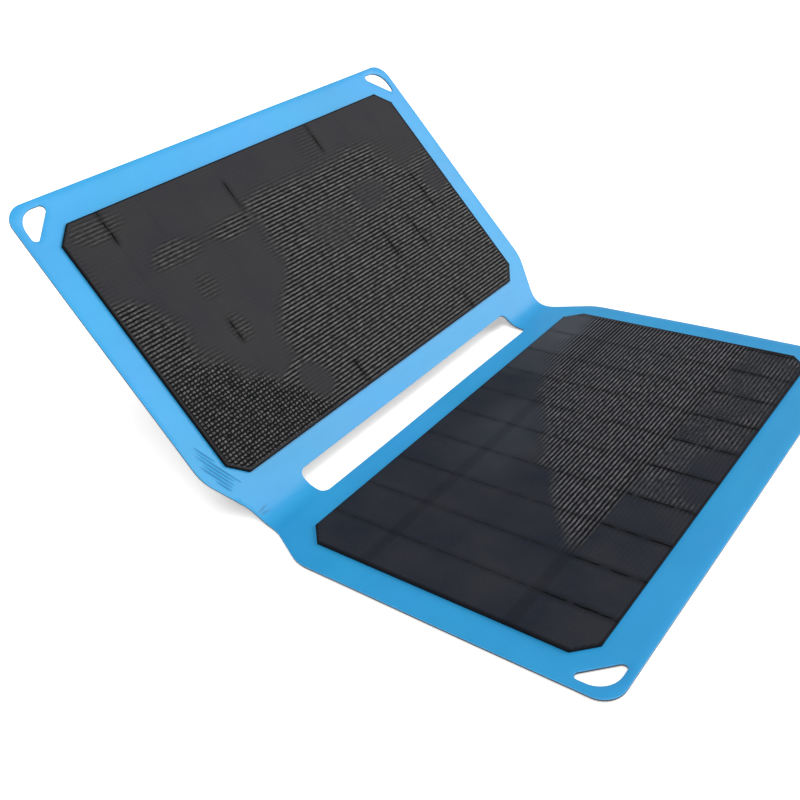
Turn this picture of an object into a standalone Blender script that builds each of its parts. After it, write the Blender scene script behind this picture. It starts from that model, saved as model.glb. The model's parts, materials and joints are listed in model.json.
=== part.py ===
"""A folding two-panel solar charger, standing part way open like a book.

One panel lies flat on the ground and the other is raised about the hinge line. Each panel is a rim of
coated fabric, front sheet and back sheet, around an eight-sided laminated plate: a backing board, ten
solar cell strips with their ribbons, and a clear cover. A small output box with two charging sockets, a
circuit board and a rubber port flap sits behind the raised panel, beside the hinge.

Units are metres and Z is up. The origin is the middle of the flat panel's underside, and Y runs along
the hinge. Both panels are modelled alike in a panel frame: u runs from the hinge line to the outer
edge, v along the hinge, and s rises from the panel's back face. The output box has a frame of its own:
x runs towards the hinge, y along it, and z out of the panel's back.
"""

import math

import bmesh
import bpy
from mathutils import Matrix, Vector

# Panel outline, seen from the front.
PANEL_LENGTH = 0.245
PANEL_REACH = 0.1622
HALF_LENGTH = PANEL_LENGTH / 2
CORNER_RADIUS = 0.0085
WAIST_HALF = 0.1112
WAIST_OUTER_U = 0.0280
WAIST_INNER_U = 0.0057
WAIST_RADIUS = 0.022
HINGE_GAP_U = 0.0003

# Slot along the hinge line, and the hooks' hole in each outer corner.
SLOT_HALF_WIDTH = 0.0077
SLOT_HALF_LENGTH = 0.0825
SLOT_RADIUS = 0.0035
HOLE_MARGIN_U = 0.0034
HOLE_MARGIN_V = 0.0038
HOLE_LEG = 0.0163
HOLE_OUTER_RADIUS = 0.0087
HOLE_POINT_RADIUS = 0.0019

# Laminated plate.
PLATE_INNER_U = 0.0198
PLATE_WIDTH = 0.1274
PLATE_HALF_LENGTH = 0.1099
PLATE_CLIP = 0.0079
PLATE_CLIP_RADIUS = 0.002
PLATE_MIDDLE_U = PLATE_INNER_U + PLATE_WIDTH / 2
BOARD_INSET = 0.007
WINDOW_CLEARANCE = 0.0003

# Heights above the back face.
BACK_SHEET = (0.0, 0.0004)
FRONT_SHEET = (0.00075, 0.00115)
JUMPER = (0.00052, 0.00064)
BOARD = (0.0006, 0.0011)
END_RIBBON = (0.0012, 0.0013)
CELL = (0.0014, 0.0016)
BUS_RIBBON = (0.0017, 0.0018)
COVER = (0.00195, 0.00235)
COVER_SKIRT_LOW = 0.00125
COVER_SKIRT_WIDTH = 0.0004

# Solar cells: strips of one wafer's width, clipped where they meet the plate's corners.
CELL_COUNT = 10
CELL_PITCH = 0.0219
CELL_WIDTH = 0.125
CELL_LENGTH = 0.0208
CELL_CLIP = 0.0074
BUS_OFFSET = 0.0322
BUS_WIDTH = 0.002
END_RIBBON_WIDTH = 0.003

# Lead strip that joins the two panels through one web of the hinge.
JUMPER_V = 0.0965
JUMPER_WIDTH = 0.006
JUMPER_END_U = PLATE_INNER_U + BOARD_INSET - 0.0005

# Hinge: the fold line lies above the rim, so that the closed plates face each other with a small gap.
AXIS_HEIGHT = 0.00275
FOLD_ANGLE = math.radians(50.4)
HINGE_X = -PANEL_REACH / 2

# Output box. Heights are measured from the panel's back face, outwards.
BOX_MIDDLE_U = 0.041
BOX_HALF_X = 0.017
BOX_HALF_Y = 0.030
BOX_CORNER_RADIUS = 0.004
BOX_WALL = 0.0016
GASKET = (0.0003, 0.0010)
BASE_FLOOR = (0.0013, 0.0027)
BASE_TOP = 0.0046
LID_BOTTOM = 0.0049
LID_PLATE = (0.0111, 0.0127)
PCB = (0.0039, 0.0049)
PCB_HALF_X = 0.0150
PCB_HALF_Y = 0.0235
PCB_CORNER_RADIUS = 0.001
PCB_POST_X, PCB_POST_Y, PCB_POST_RADIUS, PCB_POST_TOP = 0.012, 0.020, 0.0016, 0.0036
COMPONENT_BOTTOM = 0.0052
COIL_PLACE, COIL_SIZE = (0.0070, 0.0100), (0.0070, 0.0070, 0.0040)
CAN_PLACE, CAN_RADIUS, CAN_HEIGHT = (0.0070, -0.0105), 0.0031, 0.0054
CHIP_PLACE, CHIP_SIZE = (0.0035, -0.0020), (0.0050, 0.0050, 0.0015)
DIODE_PLACE, DIODE_SIZE = (0.00825, 0.0183), (0.0045, 0.0026, 0.0021)
LIGHT_PLACE, LIGHT_RADIUS, LIGHT_HOLE_RADIUS = (0.0105, 0.0), 0.0014, 0.0017
LEAD_Y, LEAD_SIZE, LEAD_HOLE = 0.008, (0.003, 0.0003), (0.005, 0.002)
LEAD_LOW, LEAD_HIGH = -0.0005, 0.0037

# Lid screws.
SCREW_X, SCREW_Y = 0.0133, 0.0266
COLUMN_RADIUS = 0.0025
SCREW_HOLE_RADIUS = 0.0011
HEAD_RECESS_RADIUS = 0.0023
HEAD_RECESS_FLOOR = 0.0113
SCREW_HEAD_RADIUS, SCREW_HEAD = 0.0020, (0.0114, 0.0125)
SCREW_SHANK_RADIUS, SCREW_SHANK_LOW = 0.00085, 0.0033
CROSS_LENGTH, CROSS_WIDTH, CROSS_DEPTH = 0.0024, 0.0005, 0.0007

# Charging sockets.
SOCKET_Y = 0.0095
SOCKET_WIDTH, SOCKET_DEPTH, SOCKET_HEIGHT, SOCKET_WALL = 0.0131, 0.0140, 0.0057, 0.0004
SOCKET_MOUTH_X = -0.0169
TONGUE_WIDTH, TONGUE_X, TONGUE = 0.0110, (-0.0150, -0.0036), (0.0081, 0.0099)
NOTCH_CLEARANCE = 0.0003

# Rubber port flap, its pin and the lid's ears.
FLAP_AXIS_X, FLAP_AXIS_Z = -0.0190, 0.0110
FLAP_HALF_LENGTH = 0.0185
FLAP_PLATE_X, FLAP_PLATE_LOW = (-0.0189, -0.0173), 0.0042
BARREL_RADIUS, BARREL_BORE = 0.0017, 0.00095
PIN_RADIUS, PIN_HALF_LENGTH = 0.00075, 0.0208
EAR_Y, EAR_LOW, EAR_OUTER_X, EAR_STEP = (0.0191, 0.0211), 0.0093, -0.0207, 0.0006
PLUG_WIDTH, PLUG_Z, PLUG_TIP_X = 0.0112, (0.0063, 0.0101), -0.0162

ARC_STEPS = 6
ROUND_STEPS = 24
CUT_MARGIN = 0.002


def clear_scene():
    for item in list(bpy.data.objects):
        bpy.data.objects.remove(item, do_unlink=True)


def make_collection(name):
    collection = bpy.data.collections.new(name)
    bpy.context.scene.collection.children.link(collection)
    return collection


def make_material(name, colour, roughness, metallic=0.0):
    material = bpy.data.materials.new(name)
    material.use_nodes = True
    shader = material.node_tree.nodes["Principled BSDF"]
    shader.inputs["Base Color"].default_value = (*colour, 1.0)
    shader.inputs["Roughness"].default_value = roughness
    shader.inputs["Metallic"].default_value = metallic
    return material


def make_frame(name, parent=None, location=(0, 0, 0), rotation=(0, 0, 0)):
    """An empty that pieces are placed in."""
    frame = bpy.data.objects.new(name, None)
    frame.location = location
    frame.rotation_euler = rotation
    frame.parent = parent
    frame.empty_display_size = 0.01
    PARTS.objects.link(frame)
    return frame


def add_piece(name, data, finish, frame, location=(0, 0, 0)):
    piece = bpy.data.objects.new(name, data)
    if not data.materials:
        data.materials.append(FINISHES[finish])
    piece.location = location
    piece.parent = frame
    PARTS.objects.link(piece)
    return piece


# ---------------------------------------------------------------- shapes


def arc_points(centre, start, end, steps):
    """Points from start to end round the centre, by the shorter way."""
    first = math.atan2(start.y - centre.y, start.x - centre.x)
    last = math.atan2(end.y - centre.y, end.x - centre.x)
    turn = (last - first + math.pi) % math.tau - math.pi
    radius = (start - centre).length
    angles = [first + turn * k / steps for k in range(steps + 1)]
    return [centre + Vector((math.cos(a), math.sin(a))) * radius for a in angles]


def rounded_outline(corners, steps=ARC_STEPS):
    """A closed outline through corners given as (x, y, radius), each rounded to its radius."""
    points = []
    for i, (x, y, radius) in enumerate(corners):
        corner = Vector((x, y))
        back = (Vector(corners[i - 1][:2]) - corner).normalized()
        ahead = (Vector(corners[(i + 1) % len(corners)][:2]) - corner).normalized()
        if radius == 0:
            points.append(corner)
            continue
        half = back.angle(ahead) / 2
        centre = corner + (back + ahead).normalized() * radius / math.sin(half)
        reach = radius / math.tan(half)
        points += arc_points(centre, corner + back * reach, corner + ahead * reach, steps)
    return points


def rectangle(low, high, radius=0.0):
    (x0, y0), (x1, y1) = low, high
    return rounded_outline([(x0, y0, radius), (x1, y0, radius), (x1, y1, radius), (x0, y1, radius)])


def sheet_curve(name, loops, thickness):
    """A flat curve cut to its loops, the first the outline and the rest its holes."""
    curve = bpy.data.curves.new(name, "CURVE")
    curve.dimensions = "2D"
    curve.fill_mode = "BOTH"
    curve.extrude = thickness / 2
    for loop in loops:
        spline = curve.splines.new("POLY")
        spline.points.add(len(loop) - 1)
        for point, place in zip(spline.points, loop):
            point.co = (place[0], place[1], 0.0, 1.0)
        spline.use_cyclic_u = True
    return curve


def flat_piece(name, loops, span, finish, frame, origin=0.0):
    """A sheet that fills the given span of heights, measured from the frame's origin height."""
    curve = sheet_curve(name, loops, span[1] - span[0])
    return add_piece(name, curve, finish, frame, (0, 0, (span[0] + span[1]) / 2 - origin))


def mesh_from(name, build):
    """A mesh made by a function that fills a bmesh."""
    mesh = bpy.data.meshes.new(name)
    work = bmesh.new()
    build(work)
    work.to_mesh(mesh)
    work.free()
    return mesh


def block_mesh(name, low, high):
    size = [b - a for a, b in zip(low, high)]
    middle = [(a + b) / 2 for a, b in zip(low, high)]
    shape = Matrix.Translation(middle) @ Matrix.Diagonal((*size, 1.0))
    return mesh_from(name, lambda work: bmesh.ops.create_cube(work, size=1.0, matrix=shape))


def prism_mesh(name, outline, low, high):
    """A prism over an outline: one flat face, extruded."""

    def build(work):
        face = work.faces.new([work.verts.new((x, y, low)) for x, y in outline])
        top = bmesh.ops.extrude_face_region(work, geom=[face])["geom"]
        rising = [v for v in top if isinstance(v, bmesh.types.BMVert)]
        bmesh.ops.translate(work, verts=rising, vec=(0, 0, high - low))
        bmesh.ops.recalc_face_normals(work, faces=work.faces)

    return mesh_from(name, build)


def rod_mesh(name, radius, start, end, along="Z", steps=ROUND_STEPS):
    """A round bar from start to end, two points on a line along one axis."""
    length = (Vector(end) - Vector(start)).length
    turn = {"X": Matrix.Rotation(math.pi / 2, 4, "Y"), "Y": Matrix.Rotation(math.pi / 2, 4, "X")}
    shape = Matrix.Translation((Vector(start) + Vector(end)) / 2) @ turn.get(along, Matrix())

    def build(work):
        bmesh.ops.create_cone(
            work, cap_ends=True, segments=steps, radius1=radius, radius2=radius, depth=length, matrix=shape
        )

    return mesh_from(name, build)


def combine(piece, mesh, operation):
    """Cuts a shape out of a piece, or joins it on, with a Boolean modifier and a hidden tool object."""
    tool = bpy.data.objects.new(f"{piece.name}_tool_{len(piece.modifiers)}", mesh)
    tool.parent = piece.parent
    tool.location = piece.location
    tool.hide_render = True
    tool.display_type = "WIRE"
    CUTTERS.objects.link(tool)
    modifier = piece.modifiers.new(operation.title(), "BOOLEAN")
    modifier.operation = operation
    modifier.object = tool
    modifier.solver = "EXACT"


def soften(piece, width, segments=2):
    bevel = piece.modifiers.new("Bevel", "BEVEL")
    bevel.width = width
    bevel.segments = segments
    bevel.limit_method = "ANGLE"
    bevel.angle_limit = math.radians(40)


def shade_round(piece):
    piece.data.shade_smooth()
    piece.data.set_sharp_from_angle(angle=math.radians(35))


# ---------------------------------------------------------------- panels


def rim_outline():
    """One panel's outline, with its half of the hinge slot and the narrower waist at the hinge."""
    near = [
        (HINGE_GAP_U, -WAIST_HALF, 0.0),
        (WAIST_INNER_U, -WAIST_HALF, WAIST_RADIUS),
        (WAIST_OUTER_U, -HALF_LENGTH, WAIST_RADIUS),
        (PANEL_REACH, -HALF_LENGTH, CORNER_RADIUS),
    ]
    far = [(u, -v, radius) for u, v, radius in reversed(near)]
    slot = [
        (HINGE_GAP_U, SLOT_HALF_LENGTH, 0.0),
        (SLOT_HALF_WIDTH, SLOT_HALF_LENGTH, SLOT_RADIUS),
        (SLOT_HALF_WIDTH, -SLOT_HALF_LENGTH, SLOT_RADIUS),
        (HINGE_GAP_U, -SLOT_HALF_LENGTH, 0.0),
    ]
    return rounded_outline(near + far + slot)


def corner_hole(side):
    """The hole near an outer corner: a triangle whose outer corner is well rounded."""
    outer_u = PANEL_REACH - HOLE_MARGIN_U
    outer_v = HALF_LENGTH - HOLE_MARGIN_V
    corners = [
        (outer_u - HOLE_LEG, side * outer_v, HOLE_POINT_RADIUS),
        (outer_u, side * outer_v, HOLE_OUTER_RADIUS),
        (outer_u, side * (outer_v - HOLE_LEG), HOLE_POINT_RADIUS),
    ]
    return rounded_outline(corners)


def octagon(grow=0.0):
    """The plate's outline: a rectangle with clipped corners, grown evenly outwards."""
    half_u = PLATE_WIDTH / 2 + grow
    half_v = PLATE_HALF_LENGTH + grow
    clip = PLATE_CLIP + grow * (2 - math.sqrt(2))
    quarter = [(half_u, half_v - clip), (half_u - clip, half_v)]
    corners = quarter + [(-u, v) for u, v in reversed(quarter)]
    corners += [(-u, -v) for u, v in corners]
    return rounded_outline([(PLATE_MIDDLE_U + u, v, PLATE_CLIP_RADIUS) for u, v in corners], 3)


def cell_outline(index):
    """A cell strip. The first and the last have the wafer's clipped corners on their outer side."""
    v0 = (index - (CELL_COUNT - 1) / 2) * CELL_PITCH - CELL_LENGTH / 2
    v1 = v0 + CELL_LENGTH
    u0, u1 = PLATE_MIDDLE_U - CELL_WIDTH / 2, PLATE_MIDDLE_U + CELL_WIDTH / 2
    if index == 0:
        return [(u0 + CELL_CLIP, v0), (u1 - CELL_CLIP, v0), (u1, v0 + CELL_CLIP), (u1, v1), (u0, v1),
                (u0, v0 + CELL_CLIP)]
    if index == CELL_COUNT - 1:
        return [(u0, v0), (u1, v0), (u1, v1 - CELL_CLIP), (u1 - CELL_CLIP, v1), (u0 + CELL_CLIP, v1),
                (u0, v1 - CELL_CLIP)]
    return rectangle((u0, v0), (u1, v1))


def make_cover(panel, frame):
    """The clear cover over the cells, whose skirt closes the laminate's edge down to the board."""
    skirt = octagon()
    inside = octagon(-COVER_SKIRT_WIDTH)
    cover = add_piece(
        f"cover_film_{panel}", prism_mesh("cover", skirt, COVER_SKIRT_LOW, COVER[1]), "cover", frame,
        (0, 0, -AXIS_HEIGHT),
    )
    combine(cover, prism_mesh("under_cover", inside, COVER_SKIRT_LOW - CUT_MARGIN, COVER[0]), "DIFFERENCE")


def make_ribbons(panel, frame):
    """Two ribbons across the cell strips, and one behind the first and the last strip."""
    half_run = ((CELL_COUNT - 1) * CELL_PITCH + CELL_LENGTH) / 2 - 0.002
    for number, side in enumerate((-1, 1), 1):
        middle = PLATE_MIDDLE_U + side * BUS_OFFSET
        bus = rectangle((middle - BUS_WIDTH / 2, -half_run), (middle + BUS_WIDTH / 2, half_run))
        flat_piece(f"bus_ribbon_{panel}_{number}", [bus], BUS_RIBBON, "ribbon", frame, AXIS_HEIGHT)
        low_u, high_u = PLATE_MIDDLE_U - BUS_OFFSET, PLATE_MIDDLE_U + BUS_OFFSET
        near, far = sorted((side * half_run, side * (half_run - END_RIBBON_WIDTH)))
        end = rectangle((low_u, near), (high_u, far))
        flat_piece(f"end_ribbon_{panel}_{number}", [end], END_RIBBON, "ribbon", frame, AXIS_HEIGHT)


def make_panel(panel, frame, jumper_side, back_holes):
    """One panel. jumper_side says at which end of the hinge its lead strip lies."""
    holes = [corner_hole(-1), corner_hole(1)]
    outline = rim_outline()
    window = octagon(WINDOW_CLEARANCE)
    back_loops = [outline] + holes + back_holes
    flat_piece(f"back_sheet_{panel}", back_loops, BACK_SHEET, "fabric", frame, AXIS_HEIGHT)
    flat_piece(f"front_sheet_{panel}", [outline, window] + holes, FRONT_SHEET, "fabric", frame, AXIS_HEIGHT)
    flat_piece(f"backing_board_{panel}", [octagon(-BOARD_INSET)], BOARD, "board", frame, AXIS_HEIGHT)
    for index in range(CELL_COUNT):
        name = f"cell_{panel}_{index + 1:02d}"
        flat_piece(name, [cell_outline(index)], CELL, "cell", frame, AXIS_HEIGHT)
    make_ribbons(panel, frame)
    make_cover(panel, frame)
    middle = jumper_side * JUMPER_V
    low, high = middle - JUMPER_WIDTH / 2, middle + JUMPER_WIDTH / 2
    strip = rectangle((2 * HINGE_GAP_U, low), (JUMPER_END_U, high))
    flat_piece(f"jumper_strip_{panel}", [strip], JUMPER, "ribbon", frame, AXIS_HEIGHT)


# ---------------------------------------------------------------- output box


def box_outline(inset=0.0):
    half_x, half_y = BOX_HALF_X - inset, BOX_HALF_Y - inset
    return rectangle((-half_x, -half_y), (half_x, half_y), BOX_CORNER_RADIUS - inset)


def lead_hole(side, middle_x=0.0):
    """The hole for one of the plate's two lead strips, below the middle of the box."""
    half_x, half_y = LEAD_HOLE[1] / 2, LEAD_HOLE[0] / 2
    return rectangle((middle_x - half_x, side * LEAD_Y - half_y), (middle_x + half_x, side * LEAD_Y + half_y))


def screw_places():
    return [(x, y) for x in (-SCREW_X, SCREW_X) for y in (-SCREW_Y, SCREW_Y)]


def make_base(frame):
    """The tray that is bonded to the panel, with the board's posts and the screws' columns."""
    tray = prism_mesh("box_base", box_outline(), BASE_FLOOR[0], BASE_TOP)
    base = add_piece("box_base", tray, "housing", frame)
    room = prism_mesh("base_room", box_outline(BOX_WALL), BASE_FLOOR[1], BASE_TOP + CUT_MARGIN)
    combine(base, room, "DIFFERENCE")
    foot = (BASE_FLOOR[0] + BASE_FLOOR[1]) / 2
    for x, y in screw_places():
        combine(base, rod_mesh("column", COLUMN_RADIUS, (x, y, foot), (x, y, BASE_TOP)), "UNION")
        pilot = rod_mesh("pilot", SCREW_HOLE_RADIUS, (x, y, BASE_FLOOR[1]), (x, y, BASE_TOP + CUT_MARGIN))
        combine(base, pilot, "DIFFERENCE")
    for x in (-PCB_POST_X, PCB_POST_X):
        for y in (-PCB_POST_Y, PCB_POST_Y):
            post = rod_mesh("post", PCB_POST_RADIUS, (x, y, foot), (x, y, PCB_POST_TOP), steps=16)
            combine(base, post, "UNION")
    for side in (-1, 1):
        hole = prism_mesh("lead_way", lead_hole(side), BASE_FLOOR[0] - CUT_MARGIN, BASE_FLOOR[1] + CUT_MARGIN)
        combine(base, hole, "DIFFERENCE")


def make_lid(frame):
    """The box's cover: columns for the screws, notches for the sockets, ears for the flap's pin."""
    shell = prism_mesh("box_lid", box_outline(), LID_BOTTOM, LID_PLATE[1])
    lid = add_piece("box_lid", shell, "housing", frame)
    soften(lid, 0.0009)
    room = prism_mesh("lid_room", box_outline(BOX_WALL), LID_BOTTOM - CUT_MARGIN, LID_PLATE[0])
    combine(lid, room, "DIFFERENCE")
    under_plate = (LID_PLATE[0] + HEAD_RECESS_FLOOR) / 2
    column_low = LID_BOTTOM + 0.0005
    for x, y in screw_places():
        combine(lid, rod_mesh("column", COLUMN_RADIUS, (x, y, column_low), (x, y, under_plate)), "UNION")
        above = (x, y, LID_PLATE[1] + CUT_MARGIN)
        combine(lid, rod_mesh("way", SCREW_HOLE_RADIUS, (x, y, column_low - CUT_MARGIN), above), "DIFFERENCE")
        combine(lid, rod_mesh("recess", HEAD_RECESS_RADIUS, (x, y, HEAD_RECESS_FLOOR), above), "DIFFERENCE")
    half_notch = SOCKET_WIDTH / 2 + NOTCH_CLEARANCE
    for side in (-1, 1):
        low = (-BOX_HALF_X - CUT_MARGIN, side * SOCKET_Y - half_notch, LID_BOTTOM - CUT_MARGIN)
        high = (-BOX_HALF_X + BOX_WALL + CUT_MARGIN / 4, side * SOCKET_Y + half_notch,
                COMPONENT_BOTTOM + SOCKET_HEIGHT + NOTCH_CLEARANCE / 2)
        combine(lid, block_mesh("notch", low, high), "DIFFERENCE")
        near, far = sorted((side * EAR_Y[0], side * EAR_Y[1]))
        ear_top = LID_PLATE[1] - EAR_STEP
        ear = block_mesh("ear", (EAR_OUTER_X, near, EAR_LOW), (-BOX_HALF_X + BOX_WALL / 2, far, ear_top))
        combine(lid, ear, "UNION")
    pin_way = rod_mesh("pin_way", BARREL_BORE, (FLAP_AXIS_X, -EAR_Y[1] - CUT_MARGIN, FLAP_AXIS_Z),
                       (FLAP_AXIS_X, EAR_Y[1] + CUT_MARGIN, FLAP_AXIS_Z), "Y")
    combine(lid, pin_way, "DIFFERENCE")
    light = rod_mesh("light_way", LIGHT_HOLE_RADIUS, (*LIGHT_PLACE, LID_PLATE[0] - CUT_MARGIN / 2),
                     (*LIGHT_PLACE, LID_PLATE[1] + CUT_MARGIN))
    combine(lid, light, "DIFFERENCE")



def make_screws(frame):
    """Four screws with a crossed recess. They share one mesh."""
    into_head = SCREW_HEAD[0] + 0.0002
    shank = rod_mesh("lid_screw", SCREW_SHANK_RADIUS, (0, 0, SCREW_SHANK_LOW), (0, 0, into_head), steps=16)
    first = add_piece("lid_screw_1", shank, "steel", frame)
    combine(first, rod_mesh("head", SCREW_HEAD_RADIUS, (0, 0, SCREW_HEAD[0]), (0, 0, SCREW_HEAD[1])), "UNION")
    half_long, half_wide, top = CROSS_LENGTH / 2, CROSS_WIDTH / 2, SCREW_HEAD[1]
    for half_x, half_y in ((half_long, half_wide), (half_wide, half_long)):
        cross = block_mesh("cross", (-half_x, -half_y, top - CROSS_DEPTH), (half_x, half_y, top + CUT_MARGIN))
        combine(first, cross, "DIFFERENCE")
    bpy.context.view_layer.update()
    finished = bpy.data.meshes.new_from_object(first.evaluated_get(bpy.context.evaluated_depsgraph_get()))
    for tool in [modifier.object for modifier in first.modifiers]:
        bpy.data.objects.remove(tool, do_unlink=True)
    first.modifiers.clear()
    first.data = finished
    for number, (x, y) in enumerate(screw_places(), 1):
        screw = first if number == 1 else add_piece(f"lid_screw_{number}", finished, "steel", frame)
        screw.location = (x, y, 0)


def make_sockets(frame):
    """Two charging sockets: a folded metal shell, closed behind, and the plastic tongue inside it."""
    for number, side in enumerate((-1, 1), 1):
        middle = side * SOCKET_Y
        low = (SOCKET_MOUTH_X, middle - SOCKET_WIDTH / 2, COMPONENT_BOTTOM)
        high = (SOCKET_MOUTH_X + SOCKET_DEPTH, middle + SOCKET_WIDTH / 2, COMPONENT_BOTTOM + SOCKET_HEIGHT)
        shell = add_piece(f"socket_shell_{number}", block_mesh("shell", low, high), "tin", frame)
        inner_low = (low[0] - CUT_MARGIN, low[1] + SOCKET_WALL, low[2] + SOCKET_WALL)
        inner_high = (high[0] - SOCKET_WALL, high[1] - SOCKET_WALL, high[2] - SOCKET_WALL)
        combine(shell, block_mesh("shell_room", inner_low, inner_high), "DIFFERENCE")
        half = TONGUE_WIDTH / 2
        low, high = (TONGUE_X[0], middle - half, TONGUE[0]), (TONGUE_X[1], middle + half, TONGUE[1])
        tongue = block_mesh("tongue", low, high)
        soften(add_piece(f"socket_tongue_{number}", tongue, "white_plastic", frame), 0.0002, 1)


def component_mesh(name, place, size):
    """A square component that stands on the circuit board."""
    (x, y), (wide, long, high) = place, size
    low = (x - wide / 2, y - long / 2, COMPONENT_BOTTOM)
    return block_mesh(name, low, (x + wide / 2, y + long / 2, COMPONENT_BOTTOM + high))


def make_circuit(frame):
    """The circuit board and what it carries, and the two strips that bring the plates' current."""
    board = rectangle((-PCB_HALF_X, -PCB_HALF_Y), (PCB_HALF_X, PCB_HALF_Y), PCB_CORNER_RADIUS)
    flat_piece("circuit_board", [board], PCB, "circuit", frame)
    coil = add_piece("inductor", component_mesh("inductor", COIL_PLACE, COIL_SIZE), "ferrite", frame)
    soften(coil, 0.0008)
    top = COMPONENT_BOTTOM + CAN_HEIGHT
    can = rod_mesh("capacitor", CAN_RADIUS, (*CAN_PLACE, COMPONENT_BOTTOM), (*CAN_PLACE, top))
    shade_round(add_piece("capacitor", can, "aluminium", frame))
    packages = ("controller_chip", CHIP_PLACE, CHIP_SIZE), ("blocking_diode", DIODE_PLACE, DIODE_SIZE)
    for name, place, size in packages:
        soften(add_piece(name, component_mesh(name, place, size), "chip", frame), 0.0002, 1)
    light_top = LID_PLATE[1] - 0.0001
    light = rod_mesh("light", LIGHT_RADIUS, (*LIGHT_PLACE, COMPONENT_BOTTOM), (*LIGHT_PLACE, light_top))
    shade_round(add_piece("light_pipe", light, "clear_plastic", frame))
    half_x, half_y = LEAD_SIZE[1] / 2, LEAD_SIZE[0] / 2
    for number, side in enumerate((-1, 1), 1):
        middle = side * LEAD_Y
        strip = block_mesh("lead", (-half_x, middle - half_y, LEAD_LOW), (half_x, middle + half_y, LEAD_HIGH))
        add_piece(f"lead_strip_{number}", strip, "ribbon", frame)


def make_flap(box_frame):
    """The rubber flap over both sockets, on its pin. Its parent empty is on the pin's axis."""
    frame = make_frame("port_flap_axis", box_frame, (FLAP_AXIS_X, 0, FLAP_AXIS_Z))

    def here(x, y, z):
        return (x - FLAP_AXIS_X, y, z - FLAP_AXIS_Z)

    plate = block_mesh("flap", here(FLAP_PLATE_X[0], -FLAP_HALF_LENGTH, FLAP_PLATE_LOW),
                       here(FLAP_PLATE_X[1], FLAP_HALF_LENGTH, FLAP_AXIS_Z - 0.0002))
    flap = add_piece("port_flap", plate, "rubber", frame)
    soften(flap, 0.0004)
    barrel = rod_mesh("barrel", BARREL_RADIUS, (0, -FLAP_HALF_LENGTH, 0), (0, FLAP_HALF_LENGTH, 0), "Y")
    combine(flap, barrel, "UNION")
    reach = FLAP_HALF_LENGTH + CUT_MARGIN
    combine(flap, rod_mesh("bore", BARREL_BORE, (0, -reach, 0), (0, reach, 0), "Y"), "DIFFERENCE")
    for side in (-1, 1):
        middle = side * SOCKET_Y
        plug = block_mesh("plug", here(FLAP_PLATE_X[1] - 0.0004, middle - PLUG_WIDTH / 2, PLUG_Z[0]),
                          here(PLUG_TIP_X, middle + PLUG_WIDTH / 2, PLUG_Z[1]))
        combine(flap, plug, "UNION")
    pin = rod_mesh("pin", PIN_RADIUS, (FLAP_AXIS_X, -PIN_HALF_LENGTH, FLAP_AXIS_Z),
                   (FLAP_AXIS_X, PIN_HALF_LENGTH, FLAP_AXIS_Z), "Y", 16)
    shade_round(add_piece("flap_pin", pin, "steel", box_frame))


def make_output_box(panel_frame):
    """The box behind the raised panel. Its frame is turned over, so that z points out of the panel's back."""
    frame = make_frame("output_box_frame", panel_frame, (BOX_MIDDLE_U, 0, -AXIS_HEIGHT), (0, math.pi, 0))
    holes = [lead_hole(side) for side in (-1, 1)]
    flat_piece("box_gasket", [box_outline(0.001)] + holes, GASKET, "foam", frame)
    make_base(frame)
    make_lid(frame)
    make_screws(frame)
    make_sockets(frame)
    make_circuit(frame)
    make_flap(frame)


clear_scene()
PARTS = make_collection("folding_solar_charger")
CUTTERS = make_collection("cutters")
FINISHES = {
    "fabric": make_material("blue_coated_fabric", (0.065, 0.36, 0.75), 0.45),
    "board": make_material("black_backing_board", (0.02, 0.02, 0.022), 0.6),
    "cell": make_material("silicon_cell", (0.015, 0.016, 0.022), 0.25),
    "ribbon": make_material("tinned_ribbon", (0.55, 0.55, 0.56), 0.35, 1.0),
    "cover": make_material("dark_laminate_cover", (0.03, 0.031, 0.034), 0.4),
    "housing": make_material("black_housing", (0.02, 0.02, 0.02), 0.5),
    "foam": make_material("black_foam", (0.03, 0.03, 0.03), 0.9),
    "steel": make_material("screw_steel", (0.5, 0.5, 0.5), 0.3, 1.0),
    "tin": make_material("tinned_shell", (0.62, 0.62, 0.63), 0.3, 1.0),
    "white_plastic": make_material("white_tongue", (0.8, 0.8, 0.8), 0.4),
    "circuit": make_material("green_circuit_board", (0.02, 0.14, 0.06), 0.4),
    "ferrite": make_material("grey_ferrite", (0.08, 0.08, 0.085), 0.6),
    "aluminium": make_material("capacitor_can", (0.6, 0.6, 0.62), 0.3, 1.0),
    "chip": make_material("black_epoxy", (0.015, 0.015, 0.015), 0.45),
    "clear_plastic": make_material("light_pipe", (0.75, 0.8, 0.8), 0.1),
    "rubber": make_material("black_rubber", (0.018, 0.018, 0.018), 0.75),
}

flat_frame = make_frame("flat_panel_frame", None, (HINGE_X, 0, AXIS_HEIGHT))
raised_frame = make_frame("raised_panel_axis", None, (HINGE_X, 0, AXIS_HEIGHT), (0, -FOLD_ANGLE, math.pi))
make_panel("flat", flat_frame, 1, [])
make_panel("raised", raised_frame, -1, [lead_hole(side, BOX_MIDDLE_U) for side in (-1, 1)])
make_output_box(raised_frame)
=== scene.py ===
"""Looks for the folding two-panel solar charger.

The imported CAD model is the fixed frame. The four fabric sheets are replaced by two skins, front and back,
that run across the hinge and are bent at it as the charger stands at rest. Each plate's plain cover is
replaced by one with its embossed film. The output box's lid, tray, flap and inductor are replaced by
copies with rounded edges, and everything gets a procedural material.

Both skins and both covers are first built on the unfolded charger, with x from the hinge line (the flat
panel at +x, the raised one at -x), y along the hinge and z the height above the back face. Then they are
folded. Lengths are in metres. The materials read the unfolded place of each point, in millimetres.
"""

import json
import math

import bmesh
import bpy
import numpy as np
from mathutils import Matrix, Vector
from mathutils.geometry import delaunay_2d_cdt


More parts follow.
